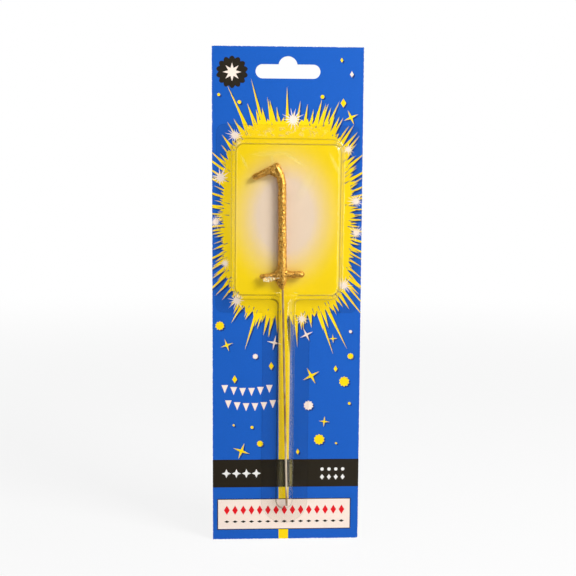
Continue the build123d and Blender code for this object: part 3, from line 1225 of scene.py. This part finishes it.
class SPARKLER_OT_dip_coat(bpy.types.Operator):
    """Dip the numeral's coat and paint it gold"""

    bl_idname = "sparkler.dip_coat"
    bl_label = "Dip Coat"

    def execute(self, context):
        settings = context.scene.sparkler_body
        across, below, out = CHIP_PLACE
        chip = (numeral_point(settings, across, settings.drip - below, settings.bar_out + out), CHIP_REACH)
        mesh, material = coat_mesh(settings, chip), coat_material(settings, chip)
        coat = new_piece("dipped_coat", mesh, material, "sparkler")
        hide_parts("sparkler_coat")
        new_piece("coat_flake", flake_mesh(settings), flake_material(settings), "sparkler")
        return {"FINISHED"}


class SPARKLER_OT_set_stage(bpy.types.Operator):
    """Set the pale floor, the soft lamps, the white room and the camera"""

    bl_idname = "sparkler.set_stage"
    bl_label = "Set Stage"

    def execute(self, context):
        settings = context.scene.sparkler_studio
        context.scene.view_settings.view_transform = "Standard"
        self.lay_floor(settings)
        self.light_room(context, settings)
        self.hang_lamp("key_lamp", *KEY_LAMP, settings.key_power)
        self.hang_lamp("fill_lamp", *FILL_LAMP, settings.fill_power)
        self.hang_lamp("strip_lamp", *STRIP_LAMP, settings.strip_power)
        self.place_camera(context, settings)
        return {"FINISHED"}

    def lay_floor(self, settings):
        """A wide pale disc under the card, whiter to the eye than to the lamps, with the card's shadow."""
        material, n = new_material("pale_floor")
        place = n.place()
        eye = n.add("LightPath", output="Is Camera Ray")
        away = n.add("VectorMath", {0: place}, output="Value", operation="LENGTH")
        white = n.math("MULTIPLY", eye, n.ramp(away, 0.35, 1.2, 0.86, 1.0))
        plain = n.add("BsdfDiffuse", {"Color": opaque(settings.floor)})
        glow = n.add("Emission", {"Color": WHITE, "Strength": 1.0})
        mirrored = n.add("Emission", {"Color": WHITE, "Strength": self.mirrored_light(n, place)})
        shown = n.add("MixShader", {0: white, 1: plain, 2: glow})
        n.surface(n.add("MixShader", {0: n.mirror_rays(), 1: shown, 2: mirrored}))
        bm = bmesh.new()
        foot = Matrix.Translation((0, 0, CARD_LOW.z))
        bmesh.ops.create_circle(bm, cap_ends=True, segments=96, radius=FLOOR_RADIUS, matrix=foot)
        floor = new_object("floor", bm, material)

    def light_room(self, context, settings):
        """A white room. Gloss sees it white on the right and behind, and dim in front, round the camera."""
        world = bpy.data.worlds.new("room")
        context.scene.world = world
        n = Nodes(world)
        eye = n.add("LightPath", output="Is Camera Ray")
        mirror = self.mirrored_light(n, n.add("TexCoord", output="Generated"))
        plain = n.add("Background", {"Color": WHITE, "Strength": settings.room_light})
        mirrored = n.add("Background", {"Color": WHITE, "Strength": mirror})
        white = n.add("Background", {"Color": WHITE, "Strength": 1.0})
        shown = n.add("MixShader", {0: n.mirror_rays(), 1: plain, 2: mirrored})
        n.background(n.add("MixShader", {0: eye, 1: shown, 2: white}))

    def mirrored_light(self, n, way):
        """The room's brightness to gloss: dim in front, dimmer on the left than on the right and behind."""
        level = n.add("VectorMath", {0: way, 1: (1.0, 1.0, 0.0)}, operation="MULTIPLY")
        level = n.add("VectorMath", {0: level}, operation="NORMALIZE")
        front = n.ramp(n.axis(level, "Y"), -0.975, -0.88, 0.06, 1.0)
        side = n.ramp(n.axis(level, "X"), -0.5, 0.5, 0.25, 1.1)
        behind = n.ramp(n.axis(level, "Y"), 0.1, 0.7, 0.0, 0.9)
        return n.math("MULTIPLY", front, n.math("MAXIMUM", side, behind))

    def hang_lamp(self, name, way, width, height, power):
        """A soft lamp that looks at the card's middle from a way off it."""
        lamp = bpy.data.lights.new(name, "AREA")
        lamp.shape = "RECTANGLE"
        lamp.size = width
        lamp.size_y = height
        lamp.energy = power
        middle = Vector((0, 0, (CARD_LOW.z + CARD_HIGH.z) / 2))
        aim = (-Vector(way)).to_track_quat("-Z", "Y").to_matrix().to_4x4()
        hung = bpy.data.objects.new(name, lamp)
        hung.matrix_world = Matrix.Translation(middle + Vector(way)) @ aim
        bpy.context.scene.collection.objects.link(hung)

    def place_camera(self, context, settings):
        """The photograph's view."""
        lens = bpy.data.cameras.new("camera")
        lens.lens = settings.lens
        lens.clip_start = 0.01
        camera = bpy.data.objects.new("camera", lens)
        camera.matrix_world = (
            Matrix.Translation(settings.eye)
            @ Matrix.Rotation(settings.azimuth, 4, "Z")
            @ Matrix.Rotation(math.pi / 2 - settings.elevation, 4, "X")
            @ Matrix.Rotation(settings.roll, 4, "Z")
        )
        context.scene.collection.objects.link(camera)
        context.scene.camera = camera


class SPARKLER_PT_panel(bpy.types.Panel):
    """Sidebar panel with the pieces and their settings"""

    bl_idname = "SPARKLER_PT_panel"
    bl_label = "Carded Sparkler"
    bl_space_type = "VIEW_3D"
    bl_region_type = "UI"
    bl_category = "Sparkler"

    def draw(self, context):
        for operator in OPERATORS:
            self.layout.operator(operator.bl_idname)
        for name in SETTINGS:
            group = getattr(context.scene, name)
            box = self.layout.box()
            for key in group.__annotations__:
                box.prop(group, key)


SETTINGS = {
    "sparkler_print": PrintSettings,
    "sparkler_film": FilmSettings,
    "sparkler_body": SparklerSettings,
    "sparkler_studio": StudioSettings,
}
OPERATORS = (
    SPARKLER_OT_dress_card,
    SPARKLER_OT_print_inks,
    SPARKLER_OT_dress_wires,
    SPARKLER_OT_dip_coat,
    SPARKLER_OT_form_film,
    SPARKLER_OT_set_stage,
)


def register():
    """Registers the settings, the operators and the panel."""
    for name, group in SETTINGS.items():
        bpy.utils.register_class(group)
        setattr(bpy.types.Scene, name, PointerProperty(type=group))
    for operator in OPERATORS:
        bpy.utils.register_class(operator)
    bpy.utils.register_class(SPARKLER_PT_panel)


def unregister():
    """Takes away what register added."""
    bpy.utils.unregister_class(SPARKLER_PT_panel)
    for operator in reversed(OPERATORS):
        bpy.utils.unregister_class(operator)
    for name, group in reversed(SETTINGS.items()):
        delattr(bpy.types.Scene, name)
        bpy.utils.unregister_class(group)


def main():
    """Builds every piece in order."""
    register()
    bpy.ops.sparkler.dress_card()
    bpy.ops.sparkler.print_inks()
    bpy.ops.sparkler.dress_wires()
    bpy.ops.sparkler.dip_coat()
    bpy.ops.sparkler.form_film()
    bpy.ops.sparkler.set_stage()


if __name__ == "__main__":
    main()
